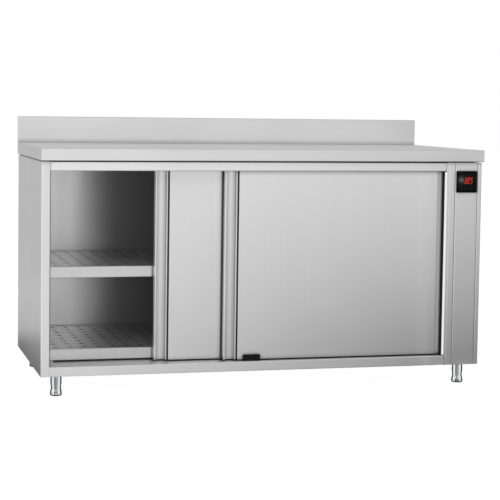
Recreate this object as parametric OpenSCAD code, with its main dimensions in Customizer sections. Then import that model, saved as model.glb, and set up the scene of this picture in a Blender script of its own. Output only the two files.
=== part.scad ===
// Heated plate cabinet with two sliding doors, a worktop with an upstand and a control column.
// Millimetres. X runs to the right, Y to the back, Z up. The origin is on the floor, under the
// middle of the worktop.

/* [Overall] */
// Width of the worktop
top_w = 1600; // [1300:10:2000]
// Depth of the worktop, upstand included
top_d = 700; // [660:10:800]
// Height of the working surface above the floor
top_h = 850; // [820:5:900]
// Height of the worktop's folded edge
edge_h = 42; // [38:1:50]
// Height of the upstand above the working surface
upstand_h = 100; // [60:5:120]
// Thickness of the upstand
upstand_t = 15; // [12:1:20]
// Thickness of the sheet steel
sheet = 1.2; // [1:0.1:1.5]

/* [Body] */
// Height of the body's underside above the floor
base_h = 72; // [68:1:90]
// Overhang of the worktop at each side of the body
side_overhang = 3; // [2:1:6]
// Overhang of the worktop in front of the body
front_overhang = 13; // [10:1:16]
// Gap between the body's back and the worktop's back edge
back_overhang = 5; // [3:1:8]
// Width of the left front stile
stile_w = 30; // [26:1:36]
// Visible height of the rail above the doors
top_rail_h = 35; // [34:1:40]
// Height of the rail below the doors
bottom_rail_h = 34; // [32:1:40]
// Width of the control column, from the door opening to the right side
column_w = 133; // [130:1:150]
// Thickness of the insulated walls
wall_t = 30; // [28:1:36]

/* [Doors] */
// Width of each door
door_w = 811; // [780:1:820]
// Thickness of each door
door_t = 28; // [27:0.5:30]
// Depth of the front door's face behind the front of the body
door_setback = 22; // [22:1:24]
// Free space between the two doors
door_gap = 6; // [5:0.5:8]
// How far the rear door stands open, from its closed place at the left
rear_door_open = 368; // [300:1:420]

/* [Shelves] */
// Height of the middle shelf's top face above the floor
shelf_z = 438; // [360:2:560]
// Height of the folded edge of both shelves
shelf_edge = 40; // [30:1:44]
// Diameter of the air holes in the shelves
shelf_hole_d = 14; // [10:1:16]
// Distance between neighbouring holes along the width
shelf_pitch_x = 50; // [45:1:60]
// Distance between neighbouring holes along the depth
shelf_pitch_y = 66; // [55:1:75]

/* [Feet] */
// Diameter of the leg tube
leg_d = 38; // [36:1:42]
// Distance of the leg's axis from the side of the worktop
leg_inset_x = 62; // [58:1:70]
// Distance of the leg's axis from the front and back edges of the worktop
leg_inset_y = 60; // [56:1:70]

/* [Hidden] */

steel = "silver";
black = [0.06, 0.06, 0.07];
small = 0.3;                                   // gap between sheets that meet edge to edge

// Folding
bend_r = 1.5;                                  // inside radius of a bend
tight_r = 0.6;                                 // inside radius of the door grip's bends
bend_steps = 3;                                // flats that make up one bend

// Body box
body_x = top_w / 2 - side_overhang;            // half the body's width
front_y = -top_d / 2 + front_overhang;
back_y = top_d / 2 - back_overhang;
body_top = top_h - edge_h;
roof_under = body_top - sheet;
case_top = roof_under - 2.5;                   // leaves a shadow gap below the worktop's edge
opening_left = -body_x + stile_w;
opening_right = body_x - column_w;
opening_mid = (opening_left + opening_right) / 2;
opening_top = body_top - top_rail_h;
sill_z = base_h + bottom_rail_h;
inner_back = back_y - wall_t;
ceiling_z = body_top - wall_t;

// Control column: hem, post, panel and side flange, from left to right
hem_w = 6;
post_w = 25;
side_flange = 16;
back_flange = 20;
post_x = opening_right + hem_w;
panel_x0 = post_x + post_w;
panel_x1 = body_x - side_flange;
panel_mid = (panel_x0 + panel_x1) / 2;

// Controller
fascia_w = 78;
fascia_t = 5;
fascia_r = 3;
fascia_z = 736;                                // height of its centre
cutout_w = 70;

// Doors and their running gear
lane_pitch = door_t + door_gap;
front_lane_y = front_y + door_setback;
rear_lane_y = front_lane_y + lane_pitch;
sill_depth = 92;
door_bottom = sill_z + 4.5;
door_top = opening_top + 3;
seal_t = 5;
seal_gap = 0.5;
front_door_x = opening_right - seal_t - seal_gap - door_w;
rear_door_x = opening_left + seal_t + seal_gap + rear_door_open;
wheel_z = body_top - 14.5;
wheel_roll_r = 9;                              // radius of the groove that rolls on the bead
wheel_rim_r = 10.2;
wheel_w = 8;
wheel_y = 8;                                   // wheel's middle behind the door's face
hanger_inset = 90;                             // hanger's middle from the door's end
axle_r = 3;

// Grip recess of the doors, measured from the door's left end
grip_flange = 6;
grip_depth = 15;
grip_x1 = 40;
grip_lip = 4;
groove_w = 6;
skin_x0 = grip_x1 + grip_lip + groove_w;
chamfer_x = 23;
chamfer_y = 8;

// Shelves
shelf_y0 = front_y + sill_depth + 5;
shelf_y1 = inner_back - 5;
shelf_x0 = opening_left + 10;
shelf_x1 = opening_right - 10;
floor_rest = 5;                                // height of the rests under the lower shelf
lower_shelf_z = sill_z + floor_rest + shelf_edge;
shelf_rows = 8;
shelf_columns = floor((shelf_x1 - shelf_x0 - shelf_pitch_x) / shelf_pitch_x) + 1;
upright_w = 22;
upright_t = 8;
slot_pitch = 30;

// Heating
fan_y = 100;
fan_z = 430;
box_half = 160;
box_x1 = opening_right + 50;
impeller_r = 58;
ring_r = 82;
ring_gap = 10;                                 // half the angle between the ring's two ends
tail_dy = ring_r * sin(ring_gap);
tail_dz = ring_r * cos(ring_gap);
tail_r = 5.2;
shaft_r = 4;

// Feet
leg_bottom = 38;
leg_plate_t = 2.5;
leg_bore_r = leg_d / 2 - 1.4;
leg_points = [for (x = [-1, 1], y = [-1, 1])
    [x * (top_w / 2 - leg_inset_x), y * (top_d / 2 - leg_inset_y)]];

// ---- Helpers -----------------------------------------------------------------------------

function heading(a, b) = (b - a) / norm(b - a);
function left_of(d) = [-d.y, d.x];
function turned(v, a) = [v.x * cos(a) - v.y * sin(a), v.x * sin(a) + v.y * cos(a)];
function turn_between(u, w) = atan2(u.x * w.y - u.y * w.x, u * w);

// Points of the outer face round the corner at b, each with the direction to its left
function bend(a, b, c, side, r) =
    let (u = heading(a, b), turn = turn_between(u, heading(b, c)), s = sign(turn),
         face_r = s * side > 0 ? r + sheet : r,
         centre = b - u * face_r * tan(abs(turn) / 2) + left_of(u) * s * face_r)
    [for (i = [0:bend_steps])
        let (n = turned(left_of(u), turn * i / bend_steps)) [centre - n * s * face_r, n]];

function folded_line(path, side, r) =
    let (last = len(path) - 1)
    concat([[path[0], left_of(heading(path[0], path[1]))]],
           [for (i = [1:1:last - 1]) each bend(path[i - 1], path[i], path[i + 1], side, r)],
           [[path[last], left_of(heading(path[last - 1], path[last]))]]);

// Section of a folded sheet. path is its outer face, and the metal lies on its left (side 1)
// or on its right (side -1).
module folded(path, side = 1, r = bend_r) {
    line = folded_line(path, side, r);
    last = len(line) - 1;
    polygon(concat([for (q = line) q[0]],
                   [for (i = [last:-1:0]) line[i][0] + line[i][1] * side * sheet]));
}

// The section's own x and y become Y and Z, and it runs from x0 to x1
module along_x(x0, x1) translate([x0, 0, 0]) rotate([90, 0, 90]) linear_extrude(x1 - x0) children();

module upright(z0, z1) translate([0, 0, z0]) linear_extrude(z1 - z0) children();

module block(lo, hi) translate(lo) cube(hi - lo);

module rod_x(r, x0, x1, y, z)
    translate([x0, y, z]) rotate([0, 90, 0]) cylinder(r = r, h = x1 - x0, $fn = 48);

module rod_y(r, y0, y1, x, z)
    translate([x, y0, z]) rotate([-90, 0, 0]) cylinder(r = r, h = y1 - y0, $fn = 48);

module rounded_plate(w, h, r) {
    square([w - 2 * r, h], center = true);
    square([w, h - 2 * r], center = true);
    for (x = [-1, 1], y = [-1, 1]) translate([x * (w / 2 - r), y * (h / 2 - r)]) circle(r, $fn = 32);
}

// ---- Worktop -----------------------------------------------------------------------------

cove_r = 9;
upstand_y = top_d / 2 - upstand_t;

// Outer face of the worktop's section: front edge, top, cove, upstand and back
function worktop_path() =
    concat([[-top_d / 2 + 18, body_top], [-top_d / 2, body_top], [-top_d / 2, top_h]],
           [for (a = [0:22.5:90]) [upstand_y - cove_r + cove_r * sin(a), top_h + cove_r - cove_r * cos(a)]],
           [[upstand_y, top_h + upstand_h], [top_d / 2, top_h + upstand_h],
            [top_d / 2, body_top], [top_d / 2 - 18, body_top]]);

module worktop() color(steel) {
    along_x(-top_w / 2, top_w / 2) folded(worktop_path(), side = -1);
    for (s = [-1, 1]) {
        // welded end of the edge and of the upstand
        end_x = s * (top_w / 2 - sheet / 2);
        along_x(end_x - sheet / 2, end_x + sheet / 2)
            polygon([for (q = folded_line(worktop_path(), -1, bend_r)) q[0]]);
        return_x = s * (top_w / 2 - 9);
        block([return_x - 9, -top_d / 2 + 3, body_top], [return_x + 9, top_d / 2 - 3, body_top + sheet]);
    }
}

board_t = 18;
board_top = top_h - sheet;

module worktop_board() color("tan")
    block([-top_w / 2 + 4, -top_d / 2 + 4, board_top - board_t], [top_w / 2 - 4, upstand_y - 12, board_top]);

// Hat-shaped stiffeners between the board and the roof panel
module worktop_channels() color(steel)
    for (y = [-230, 0, 230]) {
        crown = board_top - board_t - sheet;
        along_x(-top_w / 2 + 30, top_w / 2 - 30)
            folded([[y - 50, body_top], [y - 30, body_top], [y - 22, crown],
                    [y + 22, crown], [y + 30, body_top], [y + 50, body_top]], side = 1);
    }

// ---- Casing ------------------------------------------------------------------------------

module roof_panel() color(steel)
    block([-body_x + 3, front_y + 16, roof_under], [body_x - 3, back_y, body_top]);

rail_y = front_y + 6;                          // the rail stands back from the stile
rail_depth = 11;

module top_rail() color(steel)
    along_x(opening_left + small, opening_right - small)
        folded([[rail_y + rail_depth, opening_top + 10], [rail_y + rail_depth, opening_top],
                [rail_y, opening_top], [rail_y, case_top], [rail_y + rail_depth, case_top]], side = -1);

module bottom_rail() color(steel)
    along_x(opening_left + small, opening_right - small)
        folded([[front_y + sill_depth, sill_z - 20], [front_y + sill_depth, sill_z], [front_y, sill_z],
                [front_y, base_h], [front_y + 20, base_h]], side = 1);

// The stile's fold into the opening ends at the sill, where the stile meets the rail edge to edge
module side_panel_left() color(steel) {
    wrap = [[opening_left, front_y], [-body_x, front_y], [-body_x, back_y], [-body_x + back_flange, back_y]];
    upright(base_h, sill_z + 0.5) folded(wrap, side = -1);
    upright(sill_z, case_top) folded(concat([[opening_left, front_y + door_setback]], wrap), side = -1);
}

module side_panel_right() color(steel)
    upright(base_h, case_top)
        folded([[panel_x1, front_y + 14], [panel_x1, front_y], [body_x, front_y],
                [body_x, back_y], [body_x - back_flange, back_y]], side = 1);

// Shallow tray that closes the back between x0 and x1
module back_tray(x0, x1)
    upright(base_h + sheet, roof_under)
        folded([[x0, back_y - 15], [x0, back_y], [x1, back_y], [x1, back_y - 15]], side = -1);

module back_panel() color(steel) back_tray(-body_x + back_flange, post_x);

cover_x0 = post_x;
cover_x1 = body_x - back_flange;
cover_holes = [for (x = [cover_x0 + 9, cover_x1 - 9], z = [base_h + 40, 440, roof_under - 40]) [x, z]];

// Rear cover of the control column, with two fields of vent slots
module service_cover() color(steel)
    difference() {
        back_tray(cover_x0, cover_x1);
        for (field = [150, 620], i = [0:7])
            translate([(cover_x0 + cover_x1) / 2, back_y, field + 14 * i]) vent_slot();
        for (p = cover_holes) rod_y(2.2, back_y - 3, back_y + 1, p.x, p.y);
    }

module vent_slot() {
    block([-28, -3, -2.5], [28, 1, 2.5]);
    for (s = [-1, 1]) rod_y(2.5, -3, 1, s * 28, 0);
}

module service_screws() color("gainsboro")
    for (p = cover_holes) {
        rod_y(2.1, back_y - 8, back_y, p.x, p.y);
        rod_y(4, back_y, back_y + 2, p.x, p.y);
    }

base_x = body_x - sheet;
base_y1 = back_y - 4;

// Underside tray. Its front reaches further out below the control column.
module base_panel() color(steel)
    difference() {
        union() {
            block([-base_x, front_y + 22, base_h], [base_x, base_y1, base_h + sheet]);
            block([opening_right + small, front_y + small, base_h],
                  [panel_x1 - small, front_y + 23, base_h + sheet]);
            for (s = [-1, 1])
                block([s * (base_x - sheet / 2) - sheet / 2, front_y + 22, base_h],
                      [s * (base_x - sheet / 2) + sheet / 2, base_y1, base_h + 24]);
            block([-base_x, base_y1 - 16, base_h], [base_x, base_y1 - 16 + sheet, base_h + 24]);
        }
        for (p = leg_points) translate([p.x, p.y, base_h - 1]) cylinder(d = leg_d + 0.6, h = 4, $fn = 64);
        translate([gland_x, gland_y, base_h - 1]) cylinder(r = gland_r + 0.2, h = 4, $fn = 48);
    }

module floor_pan() color(steel)
    along_x(opening_left + small, opening_right - small)
        folded([[front_y + sill_depth + small, sill_z - 20], [front_y + sill_depth + small, sill_z],
                [inner_back - small, sill_z], [inner_back - small, sill_z - 20]], side = -1);

lining_y0 = front_y + door_setback + small;

module left_lining() color(steel)
    upright(sill_z - 20, ceiling_z)
        folded([[opening_left - 20, lining_y0], [opening_left, lining_y0],
                [opening_left, inner_back], [opening_left - 20, inner_back]], side = 1);

module back_lining() color(steel)
    block([opening_left, inner_back, sill_z - 20], [opening_right, inner_back + sheet, ceiling_z]);

module ceiling_lining() color(steel)
    block([opening_left, front_y + sill_depth + 2, ceiling_z],
          [opening_right, inner_back + sheet, ceiling_z + sheet]);

air_slots = [for (s = [-1, 1], i = [-2:2]) [fan_y + 50 * i, fan_z + s * 130]];
intake_holes = concat([[0, 0]], [for (ring = [1:4], i = [0:6 * ring - 1])
    [12 * ring * cos(60 * i / ring), 12 * ring * sin(60 * i / ring)]]);

// Wall between the warm chamber and the column. Its front hem is the right jamb.
module partition_wall() color(steel)
    difference() {
        upright(base_h + sheet, case_top)
            folded([[post_x - small, front_y + 1], [opening_right, front_y + 1],
                    [opening_right, back_y - 20]], side = -1);
        for (p = intake_holes)
            rod_x(4, opening_right - 1, opening_right + 3, fan_y + p.x, fan_z + p.y);
        for (p = air_slots)
            block([opening_right - 1, p.x - 18, p.y - 4], [opening_right + 3, p.x + 18, p.y + 4]);
    }

slab_y0 = front_y + sill_depth + 4;

// Slabs in the left wall, the back wall, the ceiling and the floor
module insulation() color("khaki") {
    block([-body_x + sheet, front_y + 30, sill_z - 8], [opening_left - sheet, inner_back - 4, ceiling_z]);
    block([opening_left + 2, inner_back + sheet, sill_z - 8], [opening_right - 2, back_y - sheet, ceiling_z]);
    block([opening_left + 2, slab_y0, ceiling_z + sheet], [opening_right - 2, back_y - 20, roof_under]);
    block([opening_left + 6, slab_y0, base_h + sheet + leg_plate_t],
          [opening_right - 6, inner_back - 4, sill_z - sheet]);
}

// ---- Control column ----------------------------------------------------------------------

module column_post() color(steel)
    upright(base_h + sheet, case_top)
        folded([[post_x, front_y + 20], [post_x, front_y],
                [panel_x0, front_y], [panel_x0, front_y + 14]], side = 1);

module control_panel() color(steel)
    difference() {
        upright(base_h + sheet, case_top)
            folded([[panel_x0 + small, front_y + 12], [panel_x0 + small, front_y],
                    [panel_x1 - small, front_y], [panel_x1 - small, front_y + 12]], side = 1);
        block([panel_mid - cutout_w / 2, front_y - 1, fascia_z - cutout_w / 2],
              [panel_mid + cutout_w / 2, front_y + 3, fascia_z + cutout_w / 2]);
    }

module controller_body() color("dimgray") {
    half = cutout_w / 2 - 0.3;
    block([panel_mid - half, front_y, fascia_z - half], [panel_mid + half, front_y + 58, fascia_z + half]);
    // rear terminal strip
    for (i = [0:5])
        block([panel_mid - 30 + 10 * i, front_y + 58, fascia_z - 25],
              [panel_mid - 22 + 10 * i, front_y + 66, fascia_z - 13]);
    // spring clips that hold it in the panel
    for (s = [-1, 1])
        block([panel_mid - 12, front_y + sheet, fascia_z + s * (half + 2.5) - 2.5],
              [panel_mid + 12, front_y + 16, fascia_z + s * (half + 2.5) + 2.5]);
}

module controller_fascia() color(black)
    translate([panel_mid, front_y, fascia_z]) rotate([90, 0, 0]) {
        linear_extrude(fascia_t - 1) rounded_plate(fascia_w, fascia_w, fascia_r);
        translate([0, 0, fascia_t - 1]) linear_extrude(1)
            rounded_plate(fascia_w - 2, fascia_w - 2, fascia_r - 1);
    }

// ---- Door running gear -------------------------------------------------------------------

bead_h = 1.45;
bead_w = 2.4;
ledge_z = wheel_z - wheel_roll_r - 0.05 - bead_h;  // top of the running ledge

// One lane's section, with y measured from the door's face in that lane
module track_lane() {
    translate([-4, ledge_z - 3]) square([2, roof_under - ledge_z + 3]);
    translate([-4, ledge_z - 2]) square([16.5, 2]);
    translate([wheel_y - bead_w / 2, ledge_z - 0.5]) square([bead_w, bead_h + 0.5]);
    translate([-4, roof_under - 2]) square([lane_pitch, 2]);
}

module top_track() color("lightgray")
    along_x(opening_left + 2, opening_right - 2) {
        translate([front_lane_y, 0]) track_lane();
        translate([rear_lane_y, 0]) track_lane();
    }

module jamb_seals() color(black)
    for (lane = [front_lane_y, rear_lane_y], x = [opening_left, opening_right - seal_t])
        upright(sill_z + 1, opening_top - 1) translate([x, lane + 1]) square([seal_t, door_t - 5]);

guide_w = 62;
guide_wall = 6.3;

// Section of the guide: a base with a front, a middle and a rear upstand
module guide_block() color(black) {
    clear = 0.7;
    y0 = front_lane_y - clear - guide_wall;
    y1 = rear_lane_y + door_t + clear + guide_wall;
    block([opening_mid - guide_w / 2, y0, sill_z], [opening_mid + guide_w / 2, y1, sill_z + 2.4]);
    guide_fin(y0, y0 + guide_wall, 21);
    guide_fin(front_lane_y + door_t + clear, rear_lane_y - clear, 16);
    guide_fin(y1 - guide_wall, y1, 16);
}

module guide_fin(y0, y1, h) translate([opening_mid, y1, sill_z]) rotate([90, 0, 0])
    linear_extrude(y1 - y0) {
        translate([-guide_w / 2, 0]) square([guide_w, h - 4]);
        translate([-guide_w / 2 + 4, 0]) square([guide_w - 8, h]);
        for (s = [-1, 1]) translate([s * (guide_w / 2 - 4), h - 4]) circle(4, $fn = 32);
    }

// ---- Doors -------------------------------------------------------------------------------

module place_front() translate([front_door_x, front_lane_y, 0]) children();
module place_rear() translate([rear_door_x, rear_lane_y, 0]) children();

// Outer skin, from the shadow groove beside the grip to the sloped right end
module door_skin() color(steel)
    upright(door_bottom, door_top)
        folded([[skin_x0, 20], [skin_x0, 0], [door_w - chamfer_x, 0],
                [door_w, chamfer_y], [door_w, door_t - 2]], side = 1, r = tight_r);

// Recessed grip, open to the front over the door's whole height
module door_grip() color(steel)
    upright(door_bottom, door_top)
        folded([[0, door_t - 2], [0, 0], [grip_flange, 0], [grip_flange, grip_depth], [grip_x1, grip_depth],
                [grip_x1, 0], [grip_x1 + grip_lip, 0], [grip_x1 + grip_lip, grip_depth + 6]],
               side = 1, r = tight_r);

module door_cap() linear_extrude(sheet)
    polygon([[2, 22.5], [skin_x0 + 2, 22.5], [skin_x0 + 2, 2], [door_w - chamfer_x - 1, 2],
             [door_w - 2, chamfer_y + 2], [door_w - 2, door_t - 0.5], [2, door_t - 0.5]]);

module door_liner() color(steel) {
    upright(door_bottom, door_top)
        folded([[sheet, door_t - 4], [sheet, door_t],
                [door_w - sheet, door_t], [door_w - sheet, door_t - 12]], side = -1);
    for (z = [door_bottom, door_top - sheet]) translate([0, 0, z]) door_cap();
}

module door_core() color("khaki")
    block([skin_x0 + 3, sheet, door_bottom + sheet],
          [door_w - chamfer_x - 2, door_t - sheet, door_top - sheet]);

hanger_y = wheel_y + wheel_w / 2 + 4;          // front face of the hanger's upright plate

module door_hangers() color("gainsboro")
    for (x = [hanger_inset, door_w - hanger_inset]) {
        block([x - 26, hanger_y - 9, door_top], [x + 26, hanger_y + 10, door_top + 2.2]);
        translate([x, hanger_y + 2.2, 0]) rotate([90, 0, 0]) linear_extrude(2.2)
            polygon([[-22, door_top + 1], [22, door_top + 1], [11, wheel_z + 7], [-11, wheel_z + 7]]);
        rod_y(axle_r, wheel_y - wheel_w / 2 - 1, hanger_y + 1, x, wheel_z);
        rod_y(axle_r + 2, hanger_y - 3, hanger_y + 1, x, wheel_z);
        rod_y(axle_r + 2, wheel_y - wheel_w / 2 - 2, wheel_y - wheel_w / 2 - 0.4, x, wheel_z);
        for (s = [-1, 1]) translate([x + s * 19, hanger_y - 5, door_top]) cylinder(r = 3, h = 4, $fn = 6);
    }

module door_wheel(x) color("ivory")
    translate([x, wheel_y + wheel_w / 2, wheel_z]) rotate([90, 0, 0]) rotate_extrude($fn = 72)
        polygon([[axle_r + 0.05, 0], [wheel_rim_r, 0], [wheel_rim_r, 1.8], [wheel_roll_r, 2.6],
                 [wheel_roll_r, wheel_w - 2.6], [wheel_rim_r, wheel_w - 1.8], [wheel_rim_r, wheel_w],
                 [axle_r + 0.05, wheel_w]]);

module front_door_skin() place_front() door_skin();
module front_door_grip() place_front() door_grip();
module front_door_liner() place_front() door_liner();
module front_door_core() place_front() door_core();
module front_door_hangers() place_front() door_hangers();
module front_door_roller_left() place_front() door_wheel(hanger_inset);
module front_door_roller_right() place_front() door_wheel(door_w - hanger_inset);
module rear_door_skin() place_rear() door_skin();
module rear_door_grip() place_rear() door_grip();
module rear_door_liner() place_rear() door_liner();
module rear_door_core() place_rear() door_core();
module rear_door_hangers() place_rear() door_hangers();
module rear_door_roller_left() place_rear() door_wheel(hanger_inset);
module rear_door_roller_right() place_rear() door_wheel(door_w - hanger_inset);

// ---- Shelves -----------------------------------------------------------------------------

bend_zone = bend_r + sheet;
return_w = 12;                                 // inward return at the foot of a folded edge
weld_gap = 0.05;                               // between sheets that spot welds join

module shelf(z) {
    hole_x0 = (shelf_x0 + shelf_x1 - (shelf_columns - 1) * shelf_pitch_x) / 2;
    hole_y0 = (shelf_y0 + shelf_y1 - (shelf_rows - 1) * shelf_pitch_y) / 2;
    translate([0, 0, z - sheet]) linear_extrude(sheet) difference() {
        translate([shelf_x0, shelf_y0 + bend_zone])
            square([shelf_x1 - shelf_x0, shelf_y1 - shelf_y0 - 2 * bend_zone]);
        for (i = [0:shelf_columns - 1], j = [0:shelf_rows - 1])
            translate([hole_x0 + i * shelf_pitch_x, hole_y0 + j * shelf_pitch_y])
                circle(d = shelf_hole_d, $fn = 32);
    }
    along_x(shelf_x0, shelf_x1) {
        folded([[shelf_y0 + return_w, z - shelf_edge], [shelf_y0, z - shelf_edge], [shelf_y0, z],
                [shelf_y0 + bend_zone + 0.01, z]], side = -1);
        folded([[shelf_y1 - bend_zone - 0.01, z], [shelf_y1, z], [shelf_y1, z - shelf_edge],
                [shelf_y1 - return_w, z - shelf_edge]], side = -1);
    }
    for (x = [shelf_x0, shelf_x1 - sheet]) shelf_end(x, z);
    shelf_stiffener(z - sheet - weld_gap, (shelf_y0 + shelf_y1) / 2);
}

// Plate welded into the end of the folded sheet, notched over its returns
module shelf_end(x, z) {
    inset = bend_zone + weld_gap;
    notch = return_w + weld_gap;
    top = z - sheet - weld_gap;
    low = z - shelf_edge;
    step = low + sheet + weld_gap;
    along_x(x, x + sheet)
        polygon([[shelf_y0 + inset, top], [shelf_y0 + inset, step], [shelf_y0 + notch, step],
                 [shelf_y0 + notch, low], [shelf_y1 - notch, low], [shelf_y1 - notch, step],
                 [shelf_y1 - inset, step], [shelf_y1 - inset, top]]);
}

// Hat section welded under the sheet, between two rows of holes
module shelf_stiffener(under, mid)
    along_x(shelf_x0 + 30, shelf_x1 - 30)
        folded([[mid - 25, under], [mid - 13, under], [mid - 11, under - 14],
                [mid + 11, under - 14], [mid + 13, under], [mid + 25, under]], side = -1);

module middle_shelf() color(steel) shelf(shelf_z);
module lower_shelf() color(steel) shelf(lower_shelf_z);

module at_uprights() for (y = [shelf_y0 + 30, shelf_y1 - 30]) {
    translate([opening_left, y, 0]) children();
    translate([opening_right, y, 0]) rotate([0, 0, 180]) children();
}

// Slotted channel that opens towards the wall behind it
module slotted_upright() difference() {
    upright(sill_z, ceiling_z)
        folded([[0, -upright_w / 2], [upright_t, -upright_w / 2],
                [upright_t, upright_w / 2], [0, upright_w / 2]], side = 1);
    for (z = [shelf_z - shelf_edge - 9 * slot_pitch:slot_pitch:ceiling_z - 30])
        block([upright_t - 2, -3, z], [upright_t + 1, 3, z + 14]);
}

module shelf_uprights() color(steel)
    at_uprights() slotted_upright();

// Angle clip that hooks into a slot. Its top carries the shelf's folded edge.
module shelf_clip() {
    rest = shelf_z - shelf_edge;
    block([upright_t, -9, rest - 22], [upright_t + 1.6, 9, rest + 6]);
    block([upright_t, -9, rest - 1.8], [upright_t + 16, 9, rest]);
    block([upright_t - 4, -2.5, rest + 1], [upright_t, 2.5, rest + 5]);
    translate([upright_t, 0.8, rest - 22]) rotate([90, 0, 0])
        linear_extrude(1.6) polygon([[0, 0], [1.5, 0], [15, 20.5], [0, 20.5]]);
}

// Low blocks on the floor pan under the lower shelf's four corners
module floor_rests()
    for (x = [shelf_x0, shelf_x1 - 16], y = [shelf_y0 + 2, shelf_y1 - 18])
        block([x, y, sill_z], [x + 16, y + 16, sill_z + floor_rest]);

module shelf_clips() color(steel) {
    at_uprights() shelf_clip();
    floor_rests();
}

// ---- Heating -----------------------------------------------------------------------------

// Sheet box over the fan, open towards the partition wall
module air_box() color("gainsboro") {
    x0 = opening_right + sheet;
    difference() {
        block([x0, fan_y - box_half, fan_z - box_half], [box_x1, fan_y + box_half, fan_z + box_half]);
        block([x0 - 1, fan_y - box_half + sheet, fan_z - box_half + sheet],
              [box_x1 - sheet, fan_y + box_half - sheet, fan_z + box_half - sheet]);
        rod_x(shaft_r + 4, box_x1 - 3, box_x1 + 1, fan_y, fan_z);
        for (s = [-1, 1]) rod_x(tail_r + 0.4, box_x1 - 3, box_x1 + 1, fan_y + tail_dy * s, fan_z - tail_dz);
    }
}

module fan_motor() color("slategray") {
    difference() {
        union() {
            rod_x(36, box_x1 + 6, box_x1 + 50, fan_y, fan_z);
            rod_x(22, box_x1 + 50, box_x1 + 58, fan_y, fan_z);
            for (a = [45:90:315])
                rod_x(5, box_x1, box_x1 + 10, fan_y + 30 * cos(a), fan_z + 30 * sin(a));
        }
        rod_x(shaft_r + 0.08, box_x1 - 1, box_x1 + 34, fan_y, fan_z);
    }
}

module fan_impeller() color("lightgray") {
    back = box_x1 - 8;
    rod_x(impeller_r, back - 1.5, back, fan_y, fan_z);
    rod_x(12, back - 20, back, fan_y, fan_z);
    rod_x(shaft_r, back - 1, box_x1 + 30, fan_y, fan_z);
    for (a = [0:36:324]) translate([0, fan_y, fan_z]) rotate([a, 0, 0])
        block([back - 26, -0.8, 34], [back - 1, 0.8, impeller_r - 1]);
    translate([back - 26, fan_y, fan_z]) rotate([0, 90, 0]) difference() {
        cylinder(r = impeller_r, h = 1.5, $fn = 72);
        translate([0, 0, -1]) cylinder(r = 38, h = 4, $fn = 72);
    }
}

// Tubular element: a ring round the impeller, and two sleeved tails through the box
module heater_element() color("dimgray") {
    ring_x = opening_right + 24;
    tube_r = 4;
    translate([ring_x, fan_y, fan_z]) rotate([0, 90, 0]) rotate([0, 0, ring_gap])
        rotate_extrude(angle = 360 - 2 * ring_gap, $fn = 96) translate([ring_r, 0]) circle(tube_r, $fn = 32);
    for (s = [-1, 1]) {
        y = fan_y + tail_dy * s;
        z = fan_z - tail_dz;
        rod_x(tail_r, ring_x - tail_r - 1, box_x1 + 22, y, z);
        rod_x(8, box_x1, box_x1 + 4, y, z);
    }
}

module temperature_probe() color("gainsboro") {
    z = ceiling_z - 60;
    rod_y(3, 180, 235, opening_right - 12, z);
    for (y = [190, 222])
        block([opening_right - 12, y, z - 1.5], [opening_right, y + 3, z + 1.5]);
}

module terminal_block() color("whitesmoke") {
    x1 = body_x - sheet;
    block([x1 - 4, -170, 140], [x1, -50, 320]);
    for (i = [0:5]) block([x1 - 26, -150 + 14 * i, 270], [x1 - 3, -138 + 14 * i, 300]);
    block([x1 - 44, -150, 170], [x1 - 3, -100, 240]);
    rod_x(11, x1 - 40, x1 - 3, -75, 200);
}

gland_x = (opening_right + body_x) / 2 + 8;
gland_y = 190;
gland_r = 8;
gland_bore_r = 4.5;

// Supply cable gland under the column's base
module cable_gland() color(black)
    translate([gland_x, gland_y, 0]) difference() {
        union() {
            translate([0, 0, base_h - 6]) cylinder(r = 12, h = 6, $fn = 6);
            translate([0, 0, base_h - 18]) cylinder(r1 = 9, r2 = 10.5, h = 12, $fn = 48);
            translate([0, 0, base_h - 6]) cylinder(r = gland_r, h = 20, $fn = 48);
            translate([0, 0, base_h + sheet]) cylinder(r = 12, h = 5, $fn = 6);
        }
        translate([0, 0, base_h - 20]) cylinder(r = gland_bore_r, h = 40, $fn = 48);
    }

// ---- Feet --------------------------------------------------------------------------------

module leg_tubes() color("gainsboro")
    for (p = leg_points) translate([p.x, p.y, 0]) difference() {
        union() {
            translate([0, 0, leg_bottom]) cylinder(d = leg_d, h = base_h + sheet - leg_bottom + 1, $fn = 72);
            translate([-28, -28, base_h + sheet]) cube([56, 56, leg_plate_t]);
        }
        translate([0, 0, leg_bottom - 1]) cylinder(r = leg_bore_r, h = base_h - leg_bottom + 8, $fn = 72);
    }

// Screw-in foot: a stem that telescopes in the leg, a waist, and a flared base on a plastic sole
foot_r = leg_bore_r - 0.35;
sole_t = 4;
sole_section = [[0, 0], [foot_r - 0.6, 0], [foot_r + 1.4, 0.8], [foot_r + 2.6, 2.2],
                [foot_r + 2.9, sole_t], [0, sole_t]];
foot_section = concat(
    [[0, sole_t], [foot_r + 3.1, sole_t], [foot_r + 3.3, 5.2]],
    [for (i = [0:6]) let (s = i / 6) [foot_r + 3.1 * (1 + cos(180 * s)) / 2, 7 + 22 * s]],
    [[foot_r, 60], [foot_r - 2, 62], [0, 62]]);

module foot(p) color("gainsboro") translate([p.x, p.y, 0]) rotate_extrude($fn = 72) polygon(foot_section);
module sole(p) color(black) translate([p.x, p.y, 0]) rotate_extrude($fn = 72) polygon(sole_section);

module foot_front_left() foot(leg_points[0]);
module foot_back_left() foot(leg_points[1]);
module foot_front_right() foot(leg_points[2]);
module foot_back_right() foot(leg_points[3]);
module sole_front_left() sole(leg_points[0]);
module sole_back_left() sole(leg_points[1]);
module sole_front_right() sole(leg_points[2]);
module sole_back_right() sole(leg_points[3]);

// ---- Assembly ----------------------------------------------------------------------------

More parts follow.
